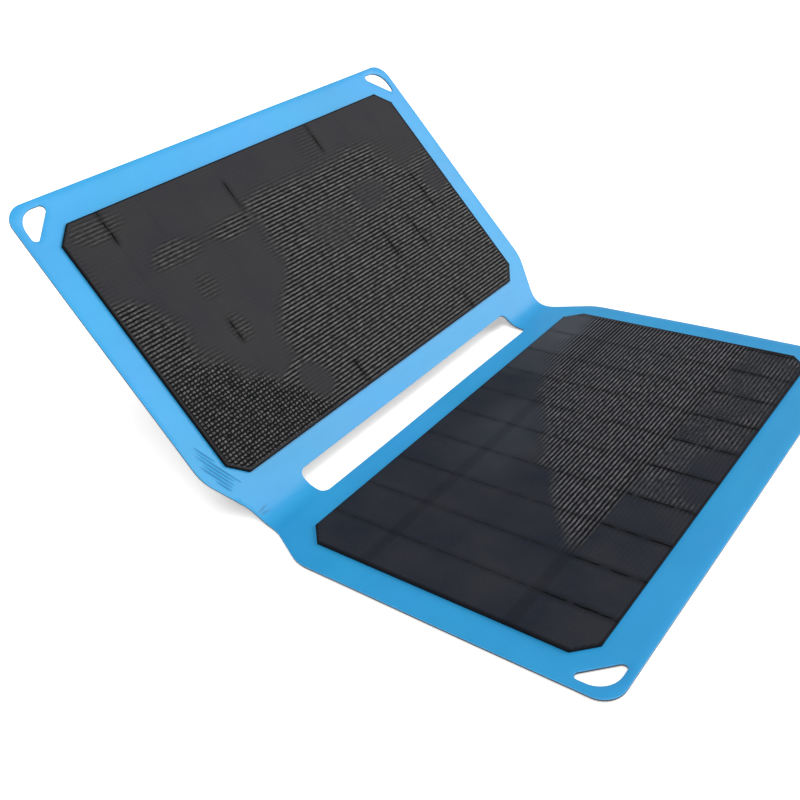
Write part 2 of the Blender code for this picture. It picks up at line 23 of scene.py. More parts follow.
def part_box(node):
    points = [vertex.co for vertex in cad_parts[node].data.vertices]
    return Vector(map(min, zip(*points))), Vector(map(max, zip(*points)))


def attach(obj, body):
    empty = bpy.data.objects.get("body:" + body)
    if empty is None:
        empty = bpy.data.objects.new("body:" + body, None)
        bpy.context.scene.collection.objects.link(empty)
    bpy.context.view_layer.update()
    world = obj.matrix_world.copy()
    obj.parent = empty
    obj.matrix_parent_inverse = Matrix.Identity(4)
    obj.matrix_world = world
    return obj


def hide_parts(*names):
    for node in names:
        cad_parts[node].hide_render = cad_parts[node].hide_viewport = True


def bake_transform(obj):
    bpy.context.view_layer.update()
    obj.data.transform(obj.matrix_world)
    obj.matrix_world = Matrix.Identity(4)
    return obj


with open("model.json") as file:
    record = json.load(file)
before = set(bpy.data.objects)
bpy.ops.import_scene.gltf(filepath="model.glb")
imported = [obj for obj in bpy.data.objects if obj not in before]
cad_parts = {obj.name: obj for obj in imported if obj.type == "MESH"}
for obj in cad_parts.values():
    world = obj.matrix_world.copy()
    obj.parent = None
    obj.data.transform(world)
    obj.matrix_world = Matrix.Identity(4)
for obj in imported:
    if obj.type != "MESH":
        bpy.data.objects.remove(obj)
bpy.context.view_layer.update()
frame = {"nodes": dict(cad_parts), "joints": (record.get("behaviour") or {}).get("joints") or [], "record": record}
MM = 0.001
SQUARE = ((-1, -1), (1, -1), (1, 1), (-1, 1))

# -------- sizes from the frame

HINGE = next(joint for joint in frame["joints"] if joint["name"] == "fold_hinge")
HINGE_X, _, AXIS_HEIGHT = HINGE["pos_m"]
FOLD = math.radians(-HINGE["range_deg"][0])

RIM_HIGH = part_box("front_sheet_flat")[1]
PANEL_REACH = RIM_HIGH.x - HINGE_X
HALF_LENGTH = RIM_HIGH.y
FRONT_TOP = RIM_HIGH.z

PLATE_LOW, PLATE_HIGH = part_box("cover_film_flat")
PLATE_INNER_U = PLATE_LOW.x - HINGE_X
PLATE_OUTER_U = PLATE_HIGH.x - HINGE_X
PLATE_HALF_LENGTH = PLATE_HIGH.y
SKIRT_LOW, PLATE_TOP = PLATE_LOW.z, PLATE_HIGH.z
PLATE_MIDDLE_U = (PLATE_INNER_U + PLATE_OUTER_U) / 2

JUMPER_LOW, JUMPER_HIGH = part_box("jumper_strip_flat")
CELL_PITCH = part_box("cell_flat_02")[0].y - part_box("cell_flat_01")[0].y
BUS_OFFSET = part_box("bus_ribbon_flat_2")[1].x - HINGE_X - PLATE_MIDDLE_U - 1.0 * MM

# -------- outline of the skins

CORNER_RADIUS = 8.5 * MM
WAIST_HALF = 111.2 * MM
WAIST_OUTER_U, WAIST_INNER_U, WAIST_RADIUS = 28.0 * MM, 5.7 * MM, 22.0 * MM
SLOT_HALF_WIDTH, SLOT_HALF_LENGTH, SLOT_RADIUS = 7.7 * MM, 82.5 * MM, 3.5 * MM
HOLE_MARGIN_U, HOLE_MARGIN_V, HOLE_LEG = 3.4 * MM, 3.8 * MM, 16.3 * MM
HOLE_OUTER_RADIUS, HOLE_POINT_RADIUS = 8.7 * MM, 1.9 * MM
PLATE_CLIP, PLATE_CLIP_RADIUS = 7.9 * MM, 2.0 * MM
WINDOW_INSET = 6.7 * MM
LEAD_U, LEAD_Y, LEAD_HOLE_HALF = 41.0 * MM, 8.0 * MM, (1.0 * MM, 2.5 * MM)

# Heights of the two skins. They nearly touch, and make room for the lead strip between them.
FRONT_SKIN = (0.60 * MM, FRONT_TOP)
BACK_SKIN = (0.0, 0.58 * MM)
SKIN_MIDDLE = FRONT_TOP / 2
RIM_ROUNDING = 0.12 * MM
POCKET_MARGIN = 3.0 * MM
POCKET_CLEARANCE = 0.03 * MM
SAME_LEVEL = 0.01 * MM

# The bend: how far it reaches to each side of the hinge line, and its share of a true arc. The rest of
# the shape is what the blend across the joint gives, so that the skins also lie flat when unfolded. That
# blend is worked out in steps.
BEND_REACH = 9.0 * MM
ARC_SHARE = 0.6
BLEND_STEPS = 40

# Spacing of the skins' points: in general, at the bend, and at the fine creases. Rows of points are a
# little closer together than the points along them, and all keep clear of the outlines.
COARSE, FINE, CREASE_STEP = 2.3 * MM, 0.75 * MM, 0.27 * MM
ROW_SHARE, CLEAR_SHARE = 0.87, 0.6
FINE_REACH = BEND_REACH + 2.0 * MM

# The loose fabric: its waves, and its fine creases near the raised panel's near hinge corner.
WAVE_HEIGHT, CREASE_DEPTH = 0.55 * MM, 0.20 * MM
WRINKLED = [((-45 * MM, -HALF_LENGTH), (-15 * MM, -107 * MM))]

# Weaves, and how far outside a plate its welded seam is, in millimetres.
THREAD_PITCH, WELD_AWAY = 0.42, 4.5

# Embossed film.
RIB_PITCH, DOT_PITCH = 1.86 * MM, 1.93 * MM
GROOVE_HALF, GROOVE_FLOOR_HALF = 0.64 * MM, 0.34 * MM
CROSS_HALF = 0.50 * MM
RELIEF = 0.17 * MM
PLATE_EDGE_DROP, PLATE_EDGE_REACH = 0.22 * MM, 0.45 * MM
EDGE_LINES, EDGE_CLEAR = (0.0, 0.12 * MM, 0.30 * MM, PLATE_EDGE_REACH), 0.15 * MM
FLAT_MARGIN, DARK_MARGIN = (1.0 * MM, 1.7 * MM), (0.4 * MM, 0.9 * MM)
CEILING_GAP = 0.42 * MM
SKIRT_WIDTH = 0.4 * MM
TINY = 1e-7


def rounded(corners, steps=10):
    """A closed outline through corners given as (x, y, radius), each rounded to its radius."""
    points = []
    for i, (x, y, radius) in enumerate(corners):
        corner = Vector((x, y))
        back = (Vector(corners[i - 1][:2]) - corner).normalized()
        ahead = (Vector(corners[(i + 1) % len(corners)][:2]) - corner).normalized()
        half = back.angle(ahead) / 2
        centre = corner + (back + ahead).normalized() * radius / math.sin(half)
        reach = radius / math.tan(half)
        start, end = corner + back * reach - centre, corner + ahead * reach - centre
        first = math.atan2(start.y, start.x)
        turn = (math.atan2(end.y, end.x) - first + math.pi) % math.tau - math.pi
        angles = [first + turn * k / steps for k in range(steps + 1)]
        points += [centre + Vector((math.cos(a), math.sin(a))) * radius for a in angles]
    return points


def mirrored(corners):
    """A half outline, given from one end of the hinge's middle line to the other, and its mirror image."""
    return corners + [(-x, y, radius) for x, y, radius in reversed(corners)]


def skin_outline():
    """Both panels' outline, with the waists at the hinge."""
    half = [(WAIST_INNER_U, WAIST_HALF, WAIST_RADIUS), (WAIST_OUTER_U, HALF_LENGTH, WAIST_RADIUS),
            (PANEL_REACH, HALF_LENGTH, CORNER_RADIUS)]
    side = [(x, -y, radius) for x, y, radius in half] + list(reversed(half))
    return rounded(mirrored(side))


def slot_outline():
    """The slot along the hinge."""
    return rounded(mirrored([(SLOT_HALF_WIDTH, -SLOT_HALF_LENGTH, SLOT_RADIUS),
                             (SLOT_HALF_WIDTH, SLOT_HALF_LENGTH, SLOT_RADIUS)]))


def hook_hole(side_x, side_y):
    """A corner's hole: a triangle whose outer corner is well rounded."""
    outer_x, outer_y = PANEL_REACH - HOLE_MARGIN_U, HALF_LENGTH - HOLE_MARGIN_V
    corners = [(outer_x - HOLE_LEG, outer_y, HOLE_POINT_RADIUS), (outer_x, outer_y, HOLE_OUTER_RADIUS),
               (outer_x, outer_y - HOLE_LEG, HOLE_POINT_RADIUS)]
    return rounded([(side_x * x, side_y * y, radius) for x, y, radius in corners])


def octagon(side, grow=0.0):
    """A plate's outline, grown evenly outwards. side is 1 for the flat panel and -1 for the raised one."""
    half_u, half_v = (PLATE_OUTER_U - PLATE_INNER_U) / 2 + grow, PLATE_HALF_LENGTH + grow
    clip = PLATE_CLIP + grow * (2 - math.sqrt(2))
    quarter = [(half_u, half_v - clip), (half_u - clip, half_v)]
    corners = quarter + [(-u, v) for u, v in reversed(quarter)]
    corners += [(-u, -v) for u, v in corners]
    return rounded([(side * PLATE_MIDDLE_U + u, v, PLATE_CLIP_RADIUS) for u, v in corners], steps=4)


def lead_hole(side_y):
    """The hole in the back skin that a lead strip passes through."""
    half_x, half_y = LEAD_HOLE_HALF
    middle = side_y * LEAD_Y
    return [Vector((-LEAD_U + x * half_x, middle + y * half_y)) for x, y in SQUARE]


# -------- flat meshes


def subdivide(loop):
    """A loop as an array, with its long stretches divided, finely where the skins bend."""
    points = []
    for a, b in zip(loop, loop[1:] + loop[:1]):
        spacing = FINE if min(abs(a.x), abs(b.x)) < FINE_REACH else COARSE
        count = max(1, math.ceil((b - a).length / spacing))
        points += [a.lerp(b, k / count) for k in range(count)]
    return np.array([(p.x, p.y) for p in points])


def distance_to(points, loop):
    """Each point's distance to a closed loop."""
    a, b = loop, np.roll(loop, -1, axis=0)
    run = b - a
    best = np.full(len(points), np.inf)
    for start, step in zip(a, run):
        share = np.clip((points - start) @ step / max(step @ step, 1e-18), 0, 1)
        best = np.minimum(best, np.hypot(*(points - start - share[:, None] * step).T))
    return best


def inside(points, loop):
    """Whether each point is inside a closed loop."""
    x, y = points.T
    found = np.zeros(len(points), bool)
    for (x0, y0), (x1, y1) in zip(loop, np.roll(loop, -1, axis=0)):
        if y0 != y1:
            crosses = (y0 > y) != (y1 > y)
            found ^= crosses & (x < (x1 - x0) * (y - y0) / (y1 - y0) + x0)
    return found


def scattered(low, high, step_x, step_y):
    """Staggered rows of points over a rectangle."""
    rows = np.arange(low[1], high[1], step_y)
    columns = np.arange(low[0], high[0], step_x)
    points = [np.column_stack([columns + (k % 2) * step_x / 2, np.full(len(columns), y)])
              for k, y in enumerate(rows)]
    return np.vstack(points)


def sheet_mesh(name, outline, holes, dense_areas):
    """A flat sheet cut to its loops, triangulated with points all over it."""
    loops = [subdivide(loop) for loop in [outline] + holes]
    wide = (PANEL_REACH, HALF_LENGTH)
    coarse = scattered((-wide[0], -wide[1]), wide, COARSE, COARSE * ROW_SHARE)
    coarse = coarse[np.abs(coarse[:, 0]) > FINE_REACH]
    for low, high in dense_areas:
        coarse = coarse[~np.all((coarse > low) & (coarse < high), axis=1)]
    bend = scattered((-FINE_REACH, -HALF_LENGTH), (FINE_REACH, HALF_LENGTH), FINE, COARSE * ROW_SHARE)
    groups = [(coarse, CLEAR_SHARE * COARSE), (bend, CLEAR_SHARE * FINE)]
    groups += [(scattered(low, high, CREASE_STEP, CREASE_STEP * ROW_SHARE), CLEAR_SHARE * CREASE_STEP)
               for low, high in dense_areas]
    kept = []
    for points, clearance in groups:
        keep = inside(points, loops[0])
        for loop in loops[1:]:
            keep &= ~inside(points, loop)
        for loop in loops:
            keep &= distance_to(points, loop) > clearance
        kept.append(points[keep])
    corners, edges = [], []
    for loop in loops:
        first = sum(len(c) for c in corners)
        edges += [(first + k, first + (k + 1) % len(loop)) for k in range(len(loop))]
        corners.append(loop)
    points = [Vector(p) for p in np.vstack(corners + kept)]
    verts, _, faces, *_ = delaunay_2d_cdt(points, edges, [], 0, TINY)
    middles = np.array([sum((verts[k] for k in face), Vector((0, 0))) / 3 for face in faces])
    keep = inside(middles, loops[0])
    for loop in loops[1:]:
        keep &= ~inside(middles, loop)
    mesh = bpy.data.meshes.new(name)
    mesh.from_pydata([(x, y, 0.0) for x, y in verts], [], [face for face, kept in zip(faces, keep) if kept])
    return mesh


def apply_modifiers(piece):
    mesh = bpy.data.meshes.new_from_object(piece.evaluated_get(bpy.context.evaluated_depsgraph_get()))
    piece.modifiers.clear()
    piece.data = mesh


def bevel(piece, width, segments, angle):
    """Rounds a piece's edges that turn by more than an angle in degrees."""
    rounding = piece.modifiers.new("Rounding", "BEVEL")
    rounding.width = width
    rounding.segments = segments
    rounding.limit_method = "ANGLE"
    rounding.angle_limit = math.radians(angle)


def add(name, data):
    piece = bpy.data.objects.new(name, data)
    bpy.context.scene.collection.objects.link(piece)
    return piece


def dress(mesh, slot):
    """Gives a mesh one material, whatever it had."""
    mesh.materials.clear()
    mesh.materials.append(MATERIALS[slot])


def coordinates(mesh):
    co = np.empty(len(mesh.vertices) * 3)
    mesh.vertices.foreach_get("co", co)
    return co.reshape(-1, 3)


def set_coordinates(mesh, co):
    mesh.vertices.foreach_set("co", np.asarray(co, float).ravel())
    mesh.update()


def store(mesh, name, values):
    """Stores a number or a vector for each vertex."""
    kind, field = ("FLOAT", "value") if values.ndim == 1 else ("FLOAT_VECTOR", "vector")
    mesh.attributes.new(name, kind, "POINT").data.foreach_set(field, values.astype(np.float32).ravel())


def smoothstep(low, high, value):
    t = np.clip((value - low) / (high - low), 0, 1)
    return t * t * (3 - 2 * t)


# -------- folding


def turned(x, z, angle):
    """Points about the joint's axis, turned so that the raised panel's side rises."""
    return x * np.cos(angle) + z * np.sin(angle), z * np.cos(angle) - x * np.sin(angle)


def bend_ends():
    """Where the bend starts on the flat panel and ends on the raised one, about the joint's axis."""
    depth = SKIN_MIDDLE - AXIS_HEIGHT
    return np.array([BEND_REACH, depth]), np.array(turned(-BEND_REACH, depth, FOLD))


def in_row_frame(x, y, z):
    """Points about the joint's axis, in the part's own frame."""
    return np.column_stack([x + HINGE_X, y, z + AXIS_HEIGHT])


def fold(points):
    """Folds points of the unfolded charger to where they are at rest."""
    x, y, z = points[:, 0], points[:, 1], points[:, 2] - AXIS_HEIGHT
    depth = AXIS_HEIGHT - SKIN_MIDDLE
    radius = BEND_REACH / math.tan(FOLD / 2) + depth
    angle = FOLD * np.clip((BEND_REACH - x) / (2 * BEND_REACH), 0, 1)
    out = radius - (z + depth)
    arc_x, arc_z = BEND_REACH - out * np.sin(angle), radius - depth - out * np.cos(angle)
    start, end = bend_ends()
    run = end - start
    weight = angle / FOLD
    for _ in range(BLEND_STEPS):
        blend_x, blend_z = turned(x, z, FOLD * weight)
        share = ((blend_x - start[0]) * run[0] + (blend_z - start[1]) * run[1]) / (run @ run)
        weight += 0.5 * (smoothstep(0, 1, share) - weight)
    rigid_x, rigid_z = turned(x, z, np.where(x > 0, 0, FOLD))
    bending = np.abs(x) < BEND_REACH
    bent_x = np.where(bending, ARC_SHARE * arc_x + (1 - ARC_SHARE) * blend_x, rigid_x)
    bent_z = np.where(bending, ARC_SHARE * arc_z + (1 - ARC_SHARE) * blend_z, rigid_z)
    return in_row_frame(bent_x, y, bent_z)


def bend_with_joint(piece):
    """Bakes the transform of a piece that runs across the hinge into its mesh; it keeps its rest shape."""
    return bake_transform(piece)


# -------- node materials


class Material:
    """A Principled material, with short calls for the nodes that feed it."""

    def __init__(self, name, **values):
        self.material = bpy.data.materials.new(name)
        self.material.use_nodes = True
        self.tree = self.material.node_tree
        self.shader = self.tree.nodes["Principled BSDF"]
        for socket, value in values.items():
            self.shader.inputs[socket.replace("_", " ")].default_value = value

    def node(self, kind, inputs=(), **settings):
        node = self.tree.nodes.new(kind)
        for key, value in settings.items():
            setattr(node, key, value)
        for key, value in dict(inputs).items():
            if isinstance(value, bpy.types.NodeSocket):
                self.tree.links.new(value, node.inputs[key])
            else:
                node.inputs[key].default_value = value
        return node

    def attribute(self, name, output="Vector"):
        return self.node("ShaderNodeAttribute", attribute_name=name).outputs[output]

    def place(self):
        """The unfolded place in millimetres, where the mesh has one."""
        return self.attribute("place")

    def object_place(self):
        """The place in the row frame at rest, in millimetres."""
        place = self.node("ShaderNodeTexCoord").outputs["Object"]
        return self.node("ShaderNodeVectorMath", {0: place, "Scale": 1 / MM}, operation="SCALE").outputs[0]

    def maths(self, operation, *values):
        return self.node("ShaderNodeMath", dict(enumerate(values)), operation=operation).outputs[0]

    def plus(self, first, second):
        return self.maths("ADD", first, second)

    def minus(self, first, second):
        return self.maths("SUBTRACT", first, second)

    def times(self, first, second):
        return self.maths("MULTIPLY", first, second)

    def larger(self, first, second):
        return self.maths("MAXIMUM", first, second)

    def size_of(self, value):
        return self.maths("ABSOLUTE", value)

    def split(self, vector):
        return self.node("ShaderNodeSeparateXYZ", {0: vector}).outputs

    def noise(self, vector, size, detail=2.0, roughness=0.5, stretch=(1, 1, 1)):
        """Noise whose features are about size millimetres across."""
        scale = [1.0 / (size * s) for s in stretch]
        scaled = self.node("ShaderNodeVectorMath", {0: vector, 1: scale}, operation="MULTIPLY").outputs[0]
        inputs = {"Vector": scaled, "Scale": 1.0, "Detail": detail, "Roughness": roughness}
        return self.node("ShaderNodeTexNoise", inputs).outputs["Fac"]

    def remap(self, value, low, high, to_low=0.0, to_high=1.0, smooth=False):
        inputs = {"Value": value, "From Min": low, "From Max": high, "To Min": to_low, "To Max": to_high}
        kind = "SMOOTHSTEP" if smooth else "LINEAR"
        return self.node("ShaderNodeMapRange", inputs, interpolation_type=kind).outputs[0]

    def mix(self, share, first, second):
        inputs = {0: share, 6: (*first, 1) if isinstance(first, tuple) else first,
                  7: (*second, 1) if isinstance(second, tuple) else second}
        return self.node("ShaderNodeMix", inputs, data_type="RGBA").outputs[2]

    def bump(self, height, depth, strength=1.0, below=None):
        """A bump of height times depth, in millimetres, on top of another bump."""
        inputs = {"Height": height, "Distance": depth * MM, "Strength": strength}
        if below is not None:
            inputs["Normal"] = below
        return self.node("ShaderNodeBump", inputs).outputs[0]

    def set(self, **sockets):
        for socket, value in sockets.items():
            self.tree.links.new(value, self.shader.inputs[socket.replace("_", " ")])
        return self.material


def weave(m, place, pitch):
    """A plain weave's height, from 0 to 1."""
    x, y, _ = m.split(place)
    turn = math.pi / pitch
    wave_x, wave_y = (m.maths("SINE", m.times(value, turn)) for value in (x, y))
    warp = m.remap(m.times(wave_x, wave_y), -0.15, 0.15, smooth=True)
    return m.plus(m.times(warp, m.size_of(wave_x)), m.times(m.minus(1.0, warp), m.size_of(wave_y)))


def coated_fabric():
    """Blue coated fabric: a thin glossy film over a fine weave."""
    m = Material("blue_coated_fabric", Specular_IOR_Level=0.5)
    place = m.place()
    threads = weave(m, place, THREAD_PITCH)
    cloud = m.noise(place, 42, 3)
    streak = m.noise(place, 9, 3, stretch=(1, 6, 1))
    speck = m.noise(place, 0.9, 2)
    colour = m.mix(m.remap(cloud, 0.3, 0.7), (0.011, 0.255, 0.520), (0.016, 0.300, 0.595))
    colour = m.mix(m.remap(streak, 0.35, 0.75, 0, 0.30), colour, (0.026, 0.330, 0.620))
    colour = m.mix(m.remap(threads, 0.0, 0.45, 0.18, 0.0), colour, (0.006, 0.190, 0.430))
    colour = m.mix(m.remap(speck, 0.62, 0.78, 0, 0.08), colour, (0.07, 0.40, 0.66))
    colour = m.mix(m.remap(m.noise(place, 60, 2), 0.35, 0.65, 0, 0.35), colour, (0.030, 0.275, 0.640))
    # Painted shade: the fabric's colour darkens along the fine creases.
    colour = m.mix(m.times(m.attribute("crease", "Fac"), 0.90), colour, (0.004, 0.085, 0.230))
    rough = m.plus(m.remap(cloud, 0.3, 0.7, 0.37, 0.46), m.remap(threads, 0, 1, 0.05, -0.02))
    normal = m.bump(threads, 0.035, 0.55)
    normal = m.bump(m.noise(place, 6.5, 3), 0.10, 0.35, normal)
    return m.set(Base_Color=colour, Roughness=rough, Normal=normal)


def woven_back():
    """Charcoal woven fabric, with a knurled weld round each plate and the outline of its board."""
    m = Material("charcoal_woven_fabric", Specular_IOR_Level=0.3, Sheen_Weight=0.25, Sheen_Roughness=0.5)
    place = m.place()
    threads = weave(m, place, 2 * THREAD_PITCH)
    cloud = m.noise(place, 30, 4)
    fuzz = m.noise(place, 0.35, 2)
    colour = m.mix(m.remap(cloud, 0.3, 0.7), (0.014, 0.015, 0.017), (0.023, 0.024, 0.027))
    colour = m.mix(m.remap(threads, 0.1, 0.9, 0.0, 0.5), colour, (0.044, 0.046, 0.052))
    colour = m.mix(m.remap(fuzz, 0.55, 0.75, 0, 0.3), colour, (0.075, 0.077, 0.085))
    away = plate_distance(m, place)
    weld = line_at(m, away, WELD_AWAY, 1.2)
    x, y, _ = m.split(place)
    diagonals = (groove(m, slant, 1.4, 0.15, 0.6) for slant in (m.plus(x, y), m.minus(x, y)))
    knurl = m.times(*diagonals)
    colour = m.mix(m.times(weld, 0.6), colour, (0.010, 0.010, 0.011))
    rough = m.mix(weld, m.remap(threads, 0, 1, 0.82, 0.62), (0.42, 0.42, 0.42))
    normal = m.bump(m.times(threads, m.minus(1.0, weld)), 0.10, 0.8)
    normal = m.bump(m.noise(place, 7, 3), 0.25, 0.5, normal)
    board = m.remap(away, -7.6, -5.8, 1.0, 0.0, smooth=True)
    pressed = m.plus(board, m.times(weld, m.remap(knurl, 0, 1, -0.5, -0.9)))
    return m.set(Base_Color=colour, Roughness=rough, Normal=m.bump(pressed, 0.35, 0.9, normal))


def groove(m, value, pitch, floor, half):
    """1 in the grooves that repeat with the pitch, 0 on the ribs between them."""
    share = m.maths("FRACT", m.plus(m.maths("DIVIDE", value, pitch), 0.5))
    away = m.times(m.size_of(m.minus(share, 0.5)), pitch)
    return m.remap(away, floor, half, 1.0, 0.0, smooth=True)


def line_at(m, value, middle, half_width):
    """1 along a line, with soft edges."""
    away = m.size_of(m.minus(value, middle))
    return m.remap(away, half_width * 0.5, half_width, 1.0, 0.0, smooth=True)


def plate_distance(m, place):
    """The distance out from the nearer plate's outline, in millimetres."""
    x, y, _ = m.split(place)
    across = m.size_of(m.minus(m.size_of(x), PLATE_MIDDLE_U / MM))
    along = m.size_of(y)
    half_width, half_length = (PLATE_OUTER_U - PLATE_INNER_U) / 2 / MM, PLATE_HALF_LENGTH / MM
    sides = m.larger(m.minus(across, half_width), m.minus(along, half_length))
    corner = m.minus(m.plus(across, along), half_width + half_length - PLATE_CLIP / MM)
    return m.larger(sides, m.times(corner, math.sqrt(0.5)))


def embossed_film(name, smooth_tones, rib_highlight_tones, gap_shift, edge_dark):
    """The cells under their embossed film, whose ribs stand out more in some places than in others.

    The vertex layers say how strong the ribs, the grooves across them, the gaps between the cell strips
    and the painted sheen are at each place, and where the plate's dark edge is. The ribs' tops carry a
    painted highlight and the grooves painted shade. The gaps show gap_shift millimetres along from where
    CAD's strips have them.
    """
    m = Material(name, Specular_IOR_Level=0.05)
    place = m.place()
    x, y, _ = m.split(place)
    across = m.minus(m.size_of(x), PLATE_MIDDLE_U / MM)
    layers = ("ribs", "dots", "gaps", "edge", "painted_sheen")
    ribs, dots, gaps, edge, painted_sheen = (m.attribute(layer, "Fac") for layer in layers)
    cloud = m.noise(place, 26, 4, 0.55)
    patch = m.noise(place, 6, 3)
    beads = m.noise(place, 1.0, 2, stretch=(0.8, 3.2, 1))
    grain = m.noise(place, 0.8, 2)
    wobble = m.times(m.remap(m.noise(place, 1.6, 1), 0.2, 0.8, -0.36, 0.36), dots)
    rib_groove = m.times(groove(m, m.plus(across, wobble), RIB_PITCH / MM, 0.34, 0.66), ribs)
    dot_groove = m.times(groove(m, y, DOT_PITCH / MM, 0.18, 0.56), dots)
    grooves = m.larger(rib_groove, dot_groove)
    waver = m.remap(m.noise(place, 5, 2), 0.2, 0.8, -0.35, 0.35)
    gap_place = m.minus(m.plus(y, waver), gap_shift)
    gap = groove(m, gap_place, CELL_PITCH / MM, 0.25, 0.85)
    gap = m.times(gap, m.times(gaps, m.remap(patch, 0.36, 0.52, 0.30, 1.0)))
    shade = m.times(groove(m, gap_place, CELL_PITCH / MM, 0.5, 3.0), m.times(gaps, 0.35))
    ribbon = m.larger(line_at(m, across, BUS_OFFSET / MM, 3.4), line_at(m, across, -BUS_OFFSET / MM, 3.4))
    smooth_tone = m.mix(m.remap(cloud, 0.35, 0.65), *smooth_tones)
    # Painted highlight: the ribs' tops get a lighter grey than the smooth film.
    rib_highlight = m.mix(m.remap(beads, 0.33, 0.67), *rib_highlight_tones)
    rib_highlight_share = m.times(m.maths("POWER", ribs, 2.2), m.remap(patch, 0.35, 0.7, 1.0, 0.7))
    colour = m.mix(rib_highlight_share, smooth_tone, rib_highlight)
    # Painted sheen: a pale grey-blue wash, as strong as the sheen layer.
    colour = m.mix(m.times(painted_sheen, 0.75), colour, (0.070, 0.077, 0.090))
    colour = m.mix(m.remap(grain, 0.4, 0.75, 0.0, 0.06), colour, (0.10, 0.10, 0.105))
    # Painted shade: the grooves are near black.
    colour = m.mix(m.times(grooves, 0.96), colour, (0.0020, 0.0020, 0.0026))
    colour = m.mix(m.times(ribbon, m.times(gaps, 0.40)), colour, (0.0040, 0.0040, 0.0045))
    colour = m.mix(m.larger(gap, shade), colour, (0.0022, 0.0022, 0.0028))
    rim_share = m.times(m.minus(1.0, edge), edge_dark)
    colour = m.mix(rim_share, colour, (0.0025, 0.0025, 0.0030))
    rough = m.plus(m.remap(grooves, 0, 1, 0.48, 0.80), m.remap(cloud, 0.3, 0.7, -0.05, 0.06))
    height = m.minus(1.0, m.larger(grooves, m.times(gap, 0.6)))
    normal = m.bump(height, 0.05, 0.7)
    normal = m.bump(m.plus(grain, m.times(beads, 2.0)), 0.012, 0.5, normal)
    return m.set(Base_Color=colour, Roughness=rough, Normal=normal)


def moulded_plastic(name, dark, light, rough, grain_size, depth):
    """Moulded plastic or rubber, with a fine spark-eroded grain and slightly polished patches."""
    m = Material(name)
    place = m.object_place()
    grain = m.noise(place, grain_size, 3)
    cloud = m.noise(place, 9, 3)
    colour = m.mix(m.remap(cloud, 0.3, 0.7), dark, light)
    colour = m.mix(m.remap(grain, 0.55, 0.8, 0.0, 0.25), colour, tuple(min(1.0, c * 1.8) for c in light))
    roughness = m.plus(m.remap(cloud, 0.3, 0.7, *rough), m.remap(grain, 0.3, 0.7, -0.04, 0.04))
    normal = m.bump(grain, depth, 0.6)
    return m.set(Base_Color=colour, Roughness=roughness, Normal=normal)


def brushed_metal(name, dark, light, rough, stretch):
    """Metal with fine drawing marks and dull patches."""
    m = Material(name, Metallic=1.0)
    place = m.object_place()
    marks = m.noise(place, 0.25, 3, stretch=stretch)
    cloud = m.noise(place, 3.0, 3)
    colour = m.mix(m.remap(cloud, 0.3, 0.7), dark, light)
    colour = m.mix(m.remap(marks, 0.4, 0.75, 0.0, 0.3), colour, tuple(c * 0.6 for c in dark))
    roughness = m.plus(m.remap(cloud, 0.3, 0.7, *rough), m.remap(marks, 0.3, 0.7, -0.05, 0.08))
    return m.set(Base_Color=colour, Roughness=roughness, Normal=m.bump(marks, 0.008, 0.6))


def silicon():
    """A cell strip: blue-black silicon with fine contact fingers."""
    m = Material("silicon_cell", Specular_IOR_Level=0.6, Coat_Weight=0.4, Coat_Roughness=0.1)
    place = m.object_place()
    x, y, _ = m.split(place)
    finger = groove(m, y, 1.3, 0.03, 0.08)
    cloud = m.noise(place, 18, 3)
    colour = m.mix(m.remap(cloud, 0.3, 0.7), (0.006, 0.008, 0.020), (0.010, 0.014, 0.032))
    colour = m.mix(m.times(finger, 0.6), colour, (0.30, 0.31, 0.33))
    rough = m.remap(cloud, 0.3, 0.7, 0.18, 0.28)
    return m.set(Base_Color=colour, Roughness=rough, Normal=m.bump(finger, 0.01, 0.5))


def circuit_laminate():
    """Green circuit board with copper traces under the mask, and tinned pads."""
    m = Material("circuit_laminate", Coat_Weight=0.3, Coat_Roughness=0.2)
    place = m.object_place()
    voronoi = m.node("ShaderNodeTexVoronoi", {"Vector": place, "Scale": 0.5}, distance="CHEBYCHEV")
    cells = voronoi.outputs["Distance"]
    trace = m.remap(cells, 0.36, 0.42, smooth=True)
    pad = m.remap(cells, 0.13, 0.10, smooth=True)
    colour = m.mix(trace, (0.010, 0.075, 0.030), (0.018, 0.140, 0.055))
    colour = m.mix(pad, colour, (0.62, 0.61, 0.58))
    rough = m.remap(trace, 0, 1, 0.42, 0.32)
    normal = m.bump(m.larger(trace, pad), 0.03, 0.7)
    return m.set(Base_Color=colour, Metallic=m.times(pad, 0.9), Roughness=rough, Normal=normal)


def foam():
    """Black closed-cell foam."""
    m = Material("foam_pad", Specular_IOR_Level=0.2)
    place = m.object_place()
    pores = m.node("ShaderNodeTexVoronoi", {"Vector": place, "Scale": 3.0}).outputs["Distance"]
    colour = m.mix(m.remap(pores, 0.1, 0.6), (0.008, 0.008, 0.009), (0.032, 0.032, 0.034))
    rough = m.remap(pores, 0, 0.6, 0.95, 0.8)
    return m.set(Base_Color=colour, Roughness=rough, Normal=m.bump(pores, 0.12, 0.8))


def light_pipe_plastic():
    """Clear plastic, a little cloudy."""
    m = Material("light_pipe_plastic", Roughness=0.25, Transmission_Weight=0.35, IOR=1.49)
    place = m.object_place()
    cloud = m.noise(place, 1.2, 3)
    colour = m.mix(m.remap(cloud, 0.3, 0.7), (0.62, 0.66, 0.66), (0.80, 0.83, 0.82))
    return m.set(Base_Color=colour, Normal=m.bump(cloud, 0.02, 0.4))


def floor_paper():
    """White paper that glows a little, so that it shows white where the light is full."""
    m = Material("pale_floor", Specular_IOR_Level=0.1, Emission_Color=(1, 1, 1, 1), Emission_Strength=0.35)
    place = m.object_place()
    fibre = m.noise(place, 1.6, 3)
    colour = m.mix(fibre, (0.92, 0.92, 0.92), (0.95, 0.95, 0.95))
    rough = m.remap(fibre, 0.3, 0.7, 0.8, 0.95)
    return m.set(Base_Color=colour, Roughness=rough, Normal=m.bump(fibre, 0.01, 0.3))
